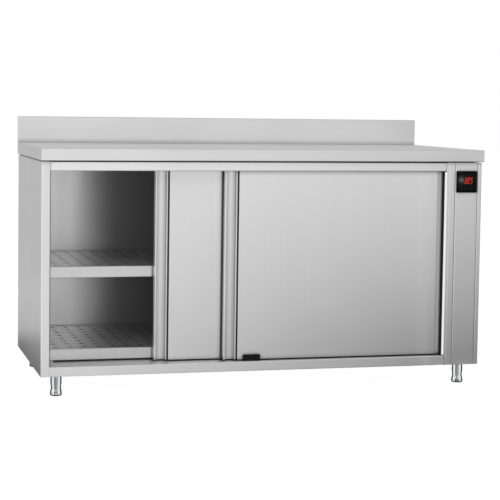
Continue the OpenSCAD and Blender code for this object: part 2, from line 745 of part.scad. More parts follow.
worktop();
worktop_board();
worktop_channels();
roof_panel();
top_rail();
bottom_rail();
side_panel_left();
side_panel_right();
back_panel();
service_cover();
service_screws();
base_panel();
floor_pan();
left_lining();
back_lining();
ceiling_lining();
partition_wall();
insulation();
column_post();
control_panel();
controller_body();
controller_fascia();
top_track();
jamb_seals();
guide_block();
front_door_skin();
front_door_grip();
front_door_liner();
front_door_core();
front_door_hangers();
front_door_roller_left();
front_door_roller_right();
rear_door_skin();
rear_door_grip();
rear_door_liner();
rear_door_core();
rear_door_hangers();
rear_door_roller_left();
rear_door_roller_right();
shelf_uprights();
shelf_clips();
middle_shelf();
lower_shelf();
air_box();
fan_motor();
fan_impeller();
heater_element();
temperature_probe();
terminal_block();
cable_gland();
leg_tubes();
foot_front_left();
foot_front_right();
foot_back_left();
foot_back_right();
sole_front_left();
sole_front_right();
sole_back_left();
sole_back_right();
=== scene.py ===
import math
import bmesh
import bpy
from mathutils import Matrix, Vector


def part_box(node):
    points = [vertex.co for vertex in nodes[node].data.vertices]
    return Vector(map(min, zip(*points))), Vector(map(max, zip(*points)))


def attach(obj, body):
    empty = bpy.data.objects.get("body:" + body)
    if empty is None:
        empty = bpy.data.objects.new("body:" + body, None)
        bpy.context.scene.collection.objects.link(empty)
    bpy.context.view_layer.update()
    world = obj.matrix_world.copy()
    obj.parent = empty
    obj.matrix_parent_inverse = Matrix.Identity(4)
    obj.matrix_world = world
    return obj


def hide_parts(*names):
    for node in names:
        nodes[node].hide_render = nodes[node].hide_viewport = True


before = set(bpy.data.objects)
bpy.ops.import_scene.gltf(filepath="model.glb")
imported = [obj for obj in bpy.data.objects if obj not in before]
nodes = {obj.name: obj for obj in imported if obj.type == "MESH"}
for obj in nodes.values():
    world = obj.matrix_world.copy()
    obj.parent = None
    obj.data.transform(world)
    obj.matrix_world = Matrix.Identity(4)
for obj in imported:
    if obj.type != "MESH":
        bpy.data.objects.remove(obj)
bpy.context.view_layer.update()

mm = 0.001
bpy.ops.object.select_all(action="DESELECT")
print("frame loaded,", len(nodes), "nodes")


# An sRGB hex colour as the linear values that a shader wants
def linear(hexColour):
    parts = [int(hexColour[i:i + 2], 16) / 255 for i in (1, 3, 5)]
    bent = [c / 12.92 if c <= 0.04045 else ((c + 0.055) / 1.055) ** 2.4 for c in parts]
    return (*bent, 1.0)


# Sets a node's inputs, each to a value or to what feeds it: a socket, or a node's first output
def setInputs(tree, node, inputs):
    for key, value in inputs.items():
        if isinstance(value, bpy.types.Node):
            value = value.outputs[0]
        if isinstance(value, bpy.types.NodeSocket):
            tree.links.new(value, node.inputs[key])
        else:
            node.inputs[key].default_value = value


# Adds a node with its settings, values and links. Inputs go by name, or by number where a name
# comes twice: a Map Range node has the value at 0, its span at 1 and 2 and the outcome at 3 and 4,
# and a Mix node the share at 0, two values at 2 and 3 and two colours at 6 and 7.
def addNode(tree, kind, inputs=None, **settings):
    node = tree.nodes.new("ShaderNode" + kind)
    for name, value in settings.items():
        setattr(node, name, value)
    setInputs(tree, node, inputs or {})
    return node


# A new material, its shader and the object coordinates that its patterns follow
def newMaterial(name, colour, roughness, metallic=0.0):
    material = bpy.data.materials.new(name)
    material.use_nodes = True
    tree = material.node_tree
    shader = tree.nodes["Principled BSDF"]
    setInputs(tree, shader, {"Base Color": linear(colour), "Roughness": roughness,
                             "Metallic": metallic})
    return material, tree, shader, addNode(tree, "TexCoord").outputs["Object"]


# Noise whose grains are the given size in millimetres along X, Y and Z
def grain(tree, place, size, detail=2.0):
    stretched = addNode(tree, "Mapping", {0: place, 3: [1000 / s for s in size]})
    return addNode(tree, "TexNoise", {"Vector": stretched, "Scale": 1.0, "Detail": detail})


noiseSpan = (0.3, 0.7)      # nearly all values of a noise lie between these


# Turns one colour into the other as a pattern rises through a span of its values
def tinted(tree, first, second, pattern, span=noiseSpan):
    share = addNode(tree, "MapRange", {0: pattern, 1: span[0], 2: span[1]})
    ends = [linear(colour) if isinstance(colour, str) else colour for colour in (first, second)]
    return addNode(tree, "Mix", {0: share, 6: ends[0], 7: ends[1]}, data_type="RGBA").outputs[2]


# Varies an input of a shader from one value to another in the same way
def vary(tree, shader, inputName, pattern, values, span=noiseSpan):
    shift = addNode(tree, "MapRange", {0: pattern, 1: span[0], 2: span[1],
                                       3: values[0], 4: values[1]})
    setInputs(tree, shader, {inputName: shift})


# The camera, from the photograph's vanishing lines
photoView = {
    "size": 500,                        # pixels each way
    "focal": 1501.5,                    # pixels
    "centre": (210, 200),               # where the lens points, in pixels
    "place": (-1.450, -5.368, 0.999),   # metres
    "yaw": 13.81,                       # degrees to the right of +Y
    "pitch": 3.60,                      # degrees down
    "roll": -0.71,
    "sensor": 36,                       # mm
}


def placeCamera(v):
    data = bpy.data.cameras.new("photoCamera")
    data.sensor_width = v["sensor"]
    data.lens = v["focal"] * v["sensor"] / v["size"]
    data.shift_x = 0.5 - v["centre"][0] / v["size"]
    data.shift_y = v["centre"][1] / v["size"] - 0.5
    yaw, pitch, roll = (math.radians(v[key]) for key in ("yaw", "pitch", "roll"))
    ahead = Vector((math.sin(yaw) * math.cos(pitch), math.cos(yaw) * math.cos(pitch),
                    -math.sin(pitch)))
    side = Vector((math.cos(yaw), -math.sin(yaw), 0))
    down = ahead.cross(side)
    right = side * math.cos(roll) + down * math.sin(roll)
    low = down * math.cos(roll) - side * math.sin(roll)
    camera = bpy.data.objects.new("photoCamera", data)
    bpy.context.scene.collection.objects.link(camera)
    turned = Matrix((right, -low, -ahead)).transposed().to_4x4()
    camera.matrix_world = Matrix.Translation(v["place"]) @ turned
    bpy.context.scene.camera = camera


placeCamera(photoView)
bpy.context.scene.view_settings.view_transform = "Standard"
print("camera placed")


# Light, floor and the cards that grade the steel
studio = {
    "fill": 0.55,             # world light on matt surfaces
    "floorWhite": 0.88,       # share of the floor's white that no shadow takes
    "floorMatt": 0.55,        # what the floor scatters back on the cabinet's lower parts
    "floorGlow": 1.12,        # keeps the far floor, which few lamps reach, as white as the world
    "floorSize": 60,          # metres
    "floorLevel": -0.0002,    # metres, just clear of the soles
}

# The grey of the floor as the steel mirrors it: it falls off close in front of the cabinet and
# towards the right, and is dark under the cabinet, a painted shadow. Places and reaches are in
# metres.
mirroredFloor = {
    "frontY": -0.337,
    "far": 1.06,
    "closeDip": 0.70,
    "closeReach": 3.1,
    "rightward": 1.23,
    "sideReach": 2.5,
    "darkest": 0.06,
    "brightest": 1.18,
    "behind": (0.44, 0.60),   # at the cabinet's front, and at the end of the reach behind it
    "behindReach": 3,
    "frontEdge": 0.04,        # depth of the change from the floor in front to the floor behind
    "under": 0.06,
    "underSides": (1.0, 1.3),     # the dark under the cabinet ends between these distances
    "underBack": (0.9, 1.2),
}

# Each lamp: where it hangs, what it looks at, its size in metres and its power in watts
lamps = {
    "frontLamp": ((-1.6, -4.2, 4.4), (0, 0, 0.4), 3.2, 170),
    "sideLamp": ((4.2, -1.6, 3.0), (0, 0, 0.5), 2.4, 60),
    "backLamp": ((-1.5, 4.6, 3.6), (0, 0, 0.5), 3.0, 80),
}

# Each card: middle, width and height in metres, where its face looks, and its grey at its left and
# at its right, seen from the lit side
cards = {
    # Broad greys that the fronts, the sides and the worktop mirror, and the dark of the camera
    "farFrontCard": ((2.0, -14.0, 1.5), (20, 3.0), (0, 1, 0), 0.74, 1.47),
    "ceilingCard": ((0, -3.0, 4.6), (30, 26), (0, 0, -1), 0.50, 0.55),
    "backCard": ((1.0, 7.5, 2.3), (18, 4.8), (0, -1, 0), 0.66, 0.56),
    "cameraCard": ((-1.45, -5.6, 1.0), (1.1, 2.0), (0.2, 1, 0), 0.05, 0.05),
    "leftBackCard": ((-1.75, 3.0, 0.90), (2.2, 1.9), (0.1, -1, 0), 0.53, 0.53),
    "rightBackCard": ((2.6, 1.6, 0.95), (2.6, 1.9), (-1, -0.5, 0), 0.80, 0.45),
    "leftFrontCard": ((-5.0, -3.0, 1.3), (5.0, 2.6), (1, 0, 0), 1.4, 1.4),
    # A small bright one that the display's glass mirrors
    "displayCard": ((2.442, -4.345, 0.539), (0.02, 0.02), (-2.17, 5.03, 0.25), 45, 45),
    # Edge-on to what the flat fronts mirror, so it lights only the slanted bead in the right jamb
    "jambCard": ((0.606, -0.357, 0.410), (0.020, 0.70), (5.04, 2.17, 0), 1.12, 1.12),
    # In the doorway, seen only in reflections: grey cards that paint shade into what the chamber's
    # back wall mirrors beside the rear door
    "upperDoorwayCard": ((-0.432, -0.27, 0.61), (0.075, 0.33), (0, 1, 0), 0.18, 0.18),
    "lowerDoorwayCard": ((-0.432, -0.27, 0.265), (0.075, 0.22), (0, 1, 0), 0.30, 0.30),
}

# Low strips around each front foot: two white ones give the polished tube its light bands, the one
# behind it the dark outlines and the one in front the soft grey streak. Each one's turn from the
# line to the camera in degrees, its distance, width and height in mm, and its greys.
footStrips = {
    "leftStrip": (61, 80, 76, 54, 1.15, 1.15),
    "rightStrip": (-63, 80, 66, 54, 1.15, 1.15),
    "frontStrip": (-4, 130, 240, 43, 0.66, 0.14),
    "darkStrip": (180, 34, 420, 58, 0.01, 0.01),
}
stripLift = 2       # mm above the floor


# 1 for rays of the named kinds, 0 for the others
def raysOf(tree, *kinds):
    path = addNode(tree, "LightPath").outputs
    found = path[f"Is {kinds[0]} Ray"]
    for kind in kinds[1:]:
        found = addNode(tree, "Math", {0: found, 1: path[f"Is {kind} Ray"]}, operation="MAXIMUM")
    return found


def mirroredFloorGrey(tree, place):
    g = mirroredFloor
    front = g["frontY"]
    x, y, _ = addNode(tree, "SeparateXYZ", {0: place}).outputs
    # In front: the grey dips close to the cabinet and falls towards the right
    ahead = addNode(tree, "Math", {0: front, 1: y}, operation="SUBTRACT")
    ahead = addNode(tree, "Math", {0: ahead, 1: 0}, operation="MAXIMUM")
    close = addNode(tree, "Math", {0: ahead, 1: -g["closeReach"]}, operation="DIVIDE")
    close = addNode(tree, "Math", {0: close}, operation="EXPONENT")
    dip = addNode(tree, "Math", {0: close, 1: g["closeDip"]}, operation="MULTIPLY")
    away = addNode(tree, "Math", {0: ahead, 1: g["sideReach"]}, operation="ADD")
    sideways = addNode(tree, "Math", {0: x, 1: away}, operation="DIVIDE")
    fall = addNode(tree, "Math", {0: sideways, 1: g["rightward"]}, operation="MULTIPLY")
    grey = g["far"]
    for operation, value in (("SUBTRACT", dip), ("SUBTRACT", fall),
                             ("MAXIMUM", g["darkest"]), ("MINIMUM", g["brightest"])):
        grey = addNode(tree, "Math", {0: grey, 1: value}, operation=operation)
    # Behind the front: a slow rise, apart from the painted shadow under and close round the cabinet
    behind = addNode(tree, "MapRange", {0: y, 1: front, 2: front + g["behindReach"],
                                        3: g["behind"][0], 4: g["behind"][1]})
    fromMiddle = addNode(tree, "Math", {0: x}, operation="ABSOLUTE")
    inside = [addNode(tree, "MapRange", {0: distance, 1: g[ends][0], 2: g[ends][1], 3: 1, 4: 0})
              for distance, ends in ((fromMiddle, "underSides"), (y, "underBack"))]
    isUnder = addNode(tree, "Math", {0: inside[0], 1: inside[1]}, operation="MULTIPLY")
    behind = addNode(tree, "Mix", {0: isUnder, 2: behind, 3: g["under"]})
    isBehind = addNode(tree, "MapRange", {0: y, 1: front, 2: front + g["frontEdge"]})
    return addNode(tree, "Mix", {0: isBehind, 2: grey, 3: behind})


def lightWorld():
    world = bpy.data.worlds.new("whiteStudio")
    world.use_nodes = True
    tree = world.node_tree
    clear = raysOf(tree, "Camera", "Glossy", "Transmission")
    strength = addNode(tree, "MapRange", {0: clear, 3: studio["fill"], 4: 1})
    setInputs(tree, tree.nodes["Background"], {"Color": linear("#FFFFFF"), "Strength": strength})
    bpy.context.scene.world = world


def hangLamp(name, place, target, size, power):
    data = bpy.data.lights.new(name, "AREA")
    data.shape = "DISK"
    data.size = size
    data.energy = power
    lamp = bpy.data.objects.new(name, data)
    bpy.context.scene.collection.objects.link(lamp)
    lamp.location = place
    lamp.rotation_mode = "QUATERNION"
    lamp.rotation_quaternion = (Vector(target) - Vector(place)).to_track_quat("-Z", "Y")
    lamp.visible_glossy = False         # the steel mirrors the white room and the cards instead
    lamp.visible_camera = False


# Gives a floor or card its material, with a glow in place of the plain shader
def wearGlow(piece, material, glow):
    tree = material.node_tree
    tree.nodes.remove(tree.nodes["Principled BSDF"])
    setInputs(tree, tree.nodes["Material Output"], {"Surface": glow})
    piece.data.materials.append(material)


def layFloor():
    s = studio
    bpy.ops.mesh.primitive_plane_add(size=s["floorSize"], location=(0, 0, s["floorLevel"]))
    floor = bpy.context.object
    floor.name = "studioFloor"
    material, tree, _, place = newMaterial("paleFloor", "#FFFFFF", 1.0)
    white = linear("#FFFFFF")
    matt = addNode(tree, "BsdfDiffuse", {"Color": (*[s["floorMatt"]] * 3, 1)})
    glow = addNode(tree, "Emission", {"Color": white, "Strength": s["floorGlow"]})
    seen = addNode(tree, "Math", {0: raysOf(tree, "Camera"), 1: s["floorWhite"]},
                   operation="MULTIPLY")
    direct = addNode(tree, "MixShader", {0: seen, 1: matt, 2: glow})
    grey = mirroredFloorGrey(tree, place)
    mirrored = addNode(tree, "Emission", {"Color": white, "Strength": grey})
    clear = raysOf(tree, "Glossy", "Transmission")
    wearGlow(floor, material, addNode(tree, "MixShader", {0: clear, 1: direct, 2: mirrored}))


# A card that only mirrored rays meet
def standCard(name, middle, size, facing, leftGrey, rightGrey):
    bpy.ops.mesh.primitive_plane_add(size=1, location=middle)
    card = bpy.context.object
    card.name = name
    card.scale = (size[0], size[1], 1)
    card.rotation_mode = "QUATERNION"
    card.rotation_quaternion = Vector(facing).to_track_quat("Z", "Y")
    material, tree, _, place = newMaterial(name + "Grey", "#808080", 1.0)
    across = addNode(tree, "SeparateXYZ", {0: place})       # X, from -0.5 to 0.5 before the scale
    grey = addNode(tree, "MapRange", {0: across, 1: -0.5, 2: 0.5, 3: leftGrey, 4: rightGrey})
    glow = addNode(tree, "Emission", {"Color": linear("#FFFFFF"), "Strength": grey})
    wearGlow(card, material, glow)
    for rays in ("camera", "diffuse", "transmission", "volume_scatter", "shadow"):
        setattr(card, "visible_" + rays, False)


def standFootStrips(foot):
    low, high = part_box(foot)
    x, y = (low.x + high.x) / 2, (low.y + high.y) / 2
    toCamera = math.atan2(photoView["place"][1] - y, photoView["place"][0] - x)
    for name, (turn, away, width, tall, leftGrey, rightGrey) in footStrips.items():
        angle = toCamera - math.radians(turn)
        towards = Vector((math.cos(angle), math.sin(angle), 0))
        middle = Vector((x, y, (tall / 2 + stripLift) * mm)) + towards * (away * mm)
        standCard(foot + "_" + name, middle, (width * mm, tall * mm), -towards, leftGrey, rightGrey)


lightWorld()
layFloor()
for name, values in lamps.items():
    hangLamp(name, *values)
for name, values in cards.items():
    standCard(name, *values)
for foot in ("foot_front_left", "foot_front_right"):
    standFootStrips(foot)
print("studio lit")


# Stainless steel sheet, ground with a fine belt in one direction: soft straight lines that
# blur what it mirrors, and a faint cloudiness across each panel
satinSteel = {
    "colour": "#EAEAEA",
    "streak": "#E8E8E8",
    "cloud": "#E4E4E4",
    "metallic": 0.86,          # the rest scatters in the ground surface, and shadows take it
    "roughness": (0.30, 0.33),
    "anisotropy": {"x": 0.55, "z": 0.40},      # the lines spread what it mirrors across themselves
    "line": (0.7, 140),        # width and length of a belt line in mm; real ones are 0.1 mm wide
    "band": (5, 900),          # wider bands, as the camera shows them
    "cloudSize": 420,          # mm
    "lineDepth": 0.0002,       # mm
    "paintedShadeReach": 18,         # mm; painted shade: the colour darkens within this reach of a corner, crease or recess
    "paintedCornerShade": 0.12,       # share of the colour that the painted shade leaves in the tightest corner
}

# The same sheet on the top rail, which stands in the worktop's shade: drawn paler, a painted
# lightening of the same steel, with the painted corner shade kept close to its corners, so that one
# painted dark line shows under the worktop's edge
shadedSteel = {
    **satinSteel,
    "colour": "#F6F6F6",
    "streak": "#F4F4F4",
    "cloud": "#F0F0F0",
    "paintedShadeReach": 7,
    "paintedCornerShade": 0.36,
}

# The same steel polished, for the thin bead in the jamb: nearly a mirror, one bright line
brightSteel = {**satinSteel, "metallic": 1.0, "roughness": (0.08, 0.11), "paintedShadeReach": 2}

# Plain cold-rolled sheet inside the chamber: greyer, duller and without clear lines
millSteel = {
    "colour": "#D8D8D8",
    "streak": "#D4D4D4",
    "cloud": "#D0D0D0",
    "metallic": 0.72,
    "roughness": (0.21, 0.25),
    "anisotropy": {"x": 0.0, "z": 0.0},
    "line": (2.0, 60),
    "band": (30, 500),
    "cloudSize": 300,
    "lineDepth": 0.0004,
    "paintedShadeReach": 12,
    "paintedCornerShade": 0.60,
}

# The chamber's back wall, of the same sheet drawn paler: painted light, so that its dark half keeps
# a soft grey
wallSteel = {**millSteel, "colour": "#E6E6E6", "streak": "#E2E2E2", "cloud": "#DEDEDE",
             "metallic": 0.66}

# The shelves, of the same sheet: clearer mirrors, which take up the dark beside the rear door
shelfSteel = {**millSteel, "metallic": 0.84}

# How the sheets' patterns are read
sheetPattern = {
    "lineSpan": (0.7, 1.3),        # nearly all values of the two line patterns' sum
    "cloudSpan": (0.45, 0.75),
    "endsFrom": (0.6, 0.8),        # how squarely a face looks along X where the end lines take over
    "paintedShadeSpan": (0.1, 1.0),      # how open a corner is to its surroundings, tight to free, for the painted shade
    "paintedShadeSamples": 8,
    "spare": 0.01,                 # keeps a direction where a face looks along its own lines
}


def steelSheet(name, s, along):
    p = sheetPattern
    material, tree, shader, place = newMaterial(name, s["colour"], s["roughness"][0], s["metallic"])
    normal = addNode(tree, "NewGeometry").outputs["Normal"]

    def lines(width, length):
        size = [width, width, width]
        size["xyz".index(along)] = length
        pattern = grain(tree, place, size)
        if along == "x":               # the ends of a sheet ground along X have lines along Y
            facing = addNode(tree, "SeparateXYZ", {0: normal})
            isEnd = addNode(tree, "Math", {0: facing}, operation="ABSOLUTE")
            isEnd = addNode(tree, "MapRange", {0: isEnd, 1: p["endsFrom"][0], 2: p["endsFrom"][1]})
            endLines = grain(tree, place, (width, length, width))
            pattern = addNode(tree, "Mix", {0: isEnd, 2: pattern, 3: endLines})
        return pattern

    fine, bands = lines(*s["line"]), lines(*s["band"])
    bothLines = addNode(tree, "Math", {0: fine, 1: bands}, operation="ADD")
    clouds = grain(tree, place, [s["cloudSize"]] * 3, detail=1.0)
    streaked = tinted(tree, s["colour"], s["streak"], bands)
    cloudy = tinted(tree, streaked, s["cloud"], clouds, p["cloudSpan"])
    # Painted shade: the colour darkens towards black in corners, creases and recesses, as far as
    # the ambient occlusion finds them closed
    openness = addNode(tree, "AmbientOcclusion", {"Distance": s["paintedShadeReach"] * mm},
                       samples=p["paintedShadeSamples"]).outputs["AO"]
    shade = addNode(tree, "MapRange", {0: openness, 1: p["paintedShadeSpan"][0], 2: p["paintedShadeSpan"][1],
                                       3: s["paintedCornerShade"], 4: 1})
    paintedShadeColour = addNode(tree, "Mix", {0: shade, 6: linear("#000000"), 7: cloudy}, data_type="RGBA")
    relief = addNode(tree, "Bump", {"Height": fine, "Distance": s["lineDepth"] * mm})
    # The tangent runs across the lines, because that way they spread what the sheet mirrors
    lineWay, spare = {"x": ((1, 0, 0), (0, 0, p["spare"])),
                      "z": ((0, 0, 1), (p["spare"], 0, 0))}[along]
    across = addNode(tree, "VectorMath", {0: normal, 1: lineWay}, operation="CROSS_PRODUCT")
    across = addNode(tree, "VectorMath", {0: across, 1: spare}, operation="ADD")
    vary(tree, shader, "Roughness", bothLines, s["roughness"], p["lineSpan"])
    setInputs(tree, shader, {"Base Color": paintedShadeColour.outputs[2], "Normal": relief, "Tangent": across,
                             "Anisotropic": s["anisotropy"][along]})
    return material


# The shelves' punched holes: round each one a dark matt ring that mirrors nothing, painted shade
# that widens the dark of the hole. In mm.
holeShadeRing = {
    "pitch": (50, 66),
    "holeRadius": 7,
    "width": 2.4,
    "fade": 0.6,
    "colour": "#3C3C3C",
    "metallic": 0.0,
}


def perforatedSheet(name, s, along, node):
    r = holeShadeRing
    material = steelSheet(name, s, along)
    tree = material.node_tree
    shader = tree.nodes["Principled BSDF"]
    low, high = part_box(node)
    middle = (low + high) / 2
    cell = [step * mm for step in r["pitch"]]
    counts = [math.floor((high[i] - low[i]) / cell[i]) for i in (0, 1)]
    start = [middle[i] - (0 if counts[i] % 2 else cell[i] / 2) for i in (0, 1)]
    place = addNode(tree, "TexCoord").outputs["Object"]
    shifted = addNode(tree, "VectorMath", {0: place, 1: (*start, 0)}, operation="SUBTRACT")
    # From each point to the middle of its own hole
    half = Vector((cell[0] / 2, cell[1] / 2, 1))
    toHole = addNode(tree, "VectorMath", {0: shifted, 1: half, 2: -half}, operation="WRAP")
    flat = addNode(tree, "VectorMath", {0: toHole, 1: (1, 1, 0)}, operation="MULTIPLY")
    distance = addNode(tree, "VectorMath", {0: flat}, operation="LENGTH").outputs["Value"]
    edge = (r["holeRadius"] + r["width"]) * mm
    # Painted shade: a dark matt ring round each hole
    isShadeRing = addNode(tree, "MapRange", {0: distance, 1: edge - r["fade"] * mm, 2: edge, 3: 1, 4: 0})
    plain = shader.inputs["Base Color"].links[0].from_socket
    setInputs(tree, shader, {"Base Color": tinted(tree, plain, r["colour"], isShadeRing, (0, 1))})
    vary(tree, shader, "Metallic", isShadeRing, (s["metallic"], r["metallic"]), (0, 1))
    return material


# Polished stainless tube: a near mirror with faint rings from the polishing wheel. Sizes in mm.
polishedTube = {
    "colour": "#D6D7DA",
    "roughness": (0.05, 0.12),
    "ring": (60, 60, 0.8),
    "ringDepth": 0.001,
}


def polishedSteelTube():
    p = polishedTube
    material, tree, shader, place = newMaterial("polishedSteelTube", p["colour"],
                                                p["roughness"][0], metallic=1.0)
    rings = grain(tree, place, p["ring"])
    vary(tree, shader, "Roughness", rings, p["roughness"])
    relief = addNode(tree, "Bump", {"Height": rings, "Distance": p["ringDepth"] * mm})
    setInputs(tree, shader, {"Normal": relief})
    return material


# Electro-galvanised steel: a cool, slightly mottled grey with a dull sheen
zincCoat = {
    "colour": "#B9BDC1",
    "patch": "#A6ABB0",
    "roughness": (0.30, 0.45),
    "crystal": 9,              # mm
    "crystalSpan": (0.1, 0.8),
}


def galvanisedSteel():
    z = zincCoat
    material, tree, shader, place = newMaterial("galvanisedSteel", z["colour"],
                                                z["roughness"][0], metallic=1.0)
    cells = addNode(tree, "TexVoronoi", {"Vector": place, "Scale": 1000 / z["crystal"]},
                    feature="SMOOTH_F1")
    mottled = tinted(tree, z["colour"], z["patch"], cells, z["crystalSpan"])
    setInputs(tree, shader, {"Base Color": mottled})
    vary(tree, shader, "Roughness", cells, z["roughness"], z["crystalSpan"])
    return material


# Anodised aluminium extrusion: silky, with die lines along its length. The line's size in mm.
trackMetal = {
    "colour": "#C9CBCD",
    "line": "#BEC0C3",
    "roughness": (0.28, 0.40),
    "dieLine": (900, 1.2, 1.2),
}


def anodisedAluminium():
    a = trackMetal
    material, tree, shader, place = newMaterial("anodisedAluminium", a["colour"],
                                                a["roughness"][0], metallic=1.0)
    dieLines = grain(tree, place, a["dieLine"])
    setInputs(tree, shader, {"Base Color": tinted(tree, a["colour"], a["line"], dieLines)})
    vary(tree, shader, "Roughness", dieLines, a["roughness"])
    return material


# Plastics, rubbers, paint and ink, and what each gives the eye. Two near colours, the range of the
# roughness, the grain of the skin and its depth in mm, and the specular level.
mouldedFinishes = {
    # Glass-filled polyamide, moulded: soft black, with a fine dry grain
    "blackPolyamide": (("#09090A", "#0E0E0F"), (0.42, 0.55), 0.5, 0.01, 0.2),
    # ABS from a spark-eroded mould: an even dark grey, half matt
    "blackAbsHousing": (("#1A1A1B", "#202021"), (0.40, 0.55), 0.6, 0.015, 0.5),
    # ABS from a polished mould: deep black with a faint clear sheen
    "polishedBlackAbs": (("#060607", "#08080A"), (0.16, 0.24), 2.0, 0.001, 0.06),
    # Turned nylon: a warm off-white, slightly waxy
    "naturalNylon": (("#E3DFD0", "#D6D1BF"), (0.30, 0.42), 1.5, 0.004, 0.5),
    # White polyamide, moulded: cream, duller than the nylon
    "whitePolyamide": (("#E2E0D8", "#D9D6CC"), (0.35, 0.5), 0.8, 0.008, 0.5),
    # Foamed rubber: dead black, with open pores; on the strip under the worktop it paints the shade
    # in the gap
    "blackFoamShadeRubber": (("#060606", "#0A0A0A"), (0.90, 0.96), 1.2, 0.05, 0.1),
    # Extruded seal rubber: dry, nearly black
    "epdmRubber": (("#141414", "#1D1D1C"), (0.70, 0.88), 0.7, 0.02, 0.5),
    # Extruded wiper rubber: a dull mid grey, which paints the shade between the two doors
    "greyWiperShadeRubber": (("#3E3E3F", "#474748"), (0.60, 0.75), 0.7, 0.01, 0.5),
    # Stoved hammer enamel: grey, with shallow shining dimples
    "hammeredGreyEnamel": (("#4E5154", "#5B5F63"), (0.25, 0.4), 3.0, 0.03, 0.5),
    # Smoked acrylic, polished: all but black, as smooth as glass
    "smokedAcrylic": (("#030304", "#050506"), (0.038, 0.048), 6.0, 0.0001, 0.08),
    # Screen-printed ink: a flat dull grey
    "printedGreyInk": (("#4A4A4C", "#3E3E40"), (0.5, 0.6), 0.5, 0.001, 0.5),
}
tonePatch = 25      # the tone wanders over patches this many grains wide


def mouldedPlastic(name, colours, roughness, grainSize, depth, specular):
    material, tree, shader, place = newMaterial(name, colours[0], roughness[0])
    skin = grain(tree, place, [grainSize] * 3, detail=3.0)
    tone = grain(tree, place, [grainSize * tonePatch] * 3, detail=1.0)
    relief = addNode(tree, "Bump", {"Height": skin, "Distance": depth * mm})
    vary(tree, shader, "Roughness", skin, roughness)
    setInputs(tree, shader, {"Base Color": tinted(tree, *colours, tone), "Normal": relief,
                             "Specular IOR Level": specular})
    return material


# Chipboard under the worktop: pressed flakes in several browns. Sizes in mm.
boardFlakes = {
    "colour": "#A98A5F",
    "dark": "#7E6240",
    "roughness": 0.85,
    "flake": 4,
    "depth": 0.2,
}


def chipboard():
    b = boardFlakes
    material, tree, shader, place = newMaterial("chipboard", b["colour"], b["roughness"])
    flakes = addNode(tree, "TexVoronoi", {"Vector": place, "Scale": 1000 / b["flake"]})
    tone = addNode(tree, "SeparateColor", {0: flakes.outputs["Color"]})
    relief = addNode(tree, "Bump", {"Height": flakes, "Distance": b["depth"] * mm})
    setInputs(tree, shader, {"Base Color": tinted(tree, b["colour"], b["dark"], tone, (0, 1)),
                             "Normal": relief})
    return material


# Mineral wool: yellow-brown felted fibres, quite matt. Sizes in mm.
woolFibre = {
    "colour": "#BFA966",
    "dark": "#8E7A42",
    "roughness": 1.0,
    "fibre": (12, 0.6, 3),
    "depth": 1.0,
}


def mineralWool():
    w = woolFibre
    material, tree, shader, place = newMaterial("mineralWool", w["colour"], w["roughness"])
    fibres = grain(tree, place, w["fibre"], detail=4.0)
    relief = addNode(tree, "Bump", {"Height": fibres, "Distance": w["depth"] * mm})
    setInputs(tree, shader, {"Base Color": tinted(tree, w["colour"], w["dark"], fibres),
                             "Normal": relief})
    return material


# Oxidised nickel-steel sheath of the heater: dark, dry, with a brown and blue heat tint
sheathTint = {
    "colour": "#4A4744",
    "tint": "#39404C",
    "roughness": (0.42, 0.6),
    "patch": 18,               # mm
}


def heaterSheath():
    h = sheathTint
    material, tree, shader, place = newMaterial("oxidisedHeaterSheath", h["colour"],
                                                h["roughness"][0], metallic=1.0)
    patches = grain(tree, place, [h["patch"]] * 3)
    setInputs(tree, shader, {"Base Color": tinted(tree, h["colour"], h["tint"], patches)})
    vary(tree, shader, "Roughness", patches, h["roughness"])
    return material


steelAlongX = steelSheet("satinSteelGroundAlongX", satinSteel, "x")
steelAlongZ = steelSheet("satinSteelGroundAlongZ", satinSteel, "z")
railSteel = steelSheet("satinSteelUnderTheEdge", shadedSteel, "x")
beadSteel = steelSheet("polishedSteelBead", brightSteel, "z")
millAlongX = steelSheet("coldRolledSteelAlongX", millSteel, "x")
millAlongZ = steelSheet("coldRolledSteelAlongZ", millSteel, "z")
backSteel = steelSheet("coldRolledSteelBehindTheShelves", wallSteel, "z")
perforatedSteel = perforatedSheet("perforatedColdRolledSteel", shelfSteel, "x", "middle_shelf")
tubeSteel = polishedSteelTube()
zinc = galvanisedSteel()
aluminium = anodisedAluminium()
moulded = {name: mouldedPlastic(name, *values) for name, values in mouldedFinishes.items()}
board = chipboard()
wool = mineralWool()
sheath = heaterSheath()

finishes = {
    steelAlongX: ["worktop", "bottom_rail"],
    railSteel: ["top_rail"],
    steelAlongZ: ["side_panel_left", "side_panel_right", "back_panel", "service_cover",
                  "partition_wall", "column_post", "control_panel", "front_door_skin",
                  "front_door_grip", "rear_door_skin", "rear_door_grip"],
    millAlongX: ["worktop_channels", "roof_panel", "base_panel", "floor_pan", "ceiling_lining",
                 "shelf_clips"],
    perforatedSteel: ["middle_shelf", "lower_shelf"],
    backSteel: ["back_lining"],
    millAlongZ: ["left_lining", "shelf_uprights", "front_door_liner", "rear_door_liner"],
    tubeSteel: ["leg_tubes"] + [n for n in nodes if n.startswith("foot_")],
    zinc: ["service_screws", "front_door_hangers", "rear_door_hangers", "air_box",
           "temperature_probe"],
    aluminium: ["top_track", "fan_impeller"],
    moulded["blackPolyamide"]: ["guide_block", "cable_gland"]
                               + [n for n in nodes if n.startswith("sole_")],
    moulded["blackAbsHousing"]: ["controller_body"],
    moulded["polishedBlackAbs"]: ["controller_fascia"],
    moulded["naturalNylon"]: [n for n in nodes if "_roller_" in n],
    moulded["whitePolyamide"]: ["terminal_block"],
    moulded["epdmRubber"]: ["jamb_seals"],
    moulded["hammeredGreyEnamel"]: ["fan_motor"],
    board: ["worktop_board"],
    wool: ["insulation", "front_door_core", "rear_door_core"],
    sheath: ["heater_element"],
}
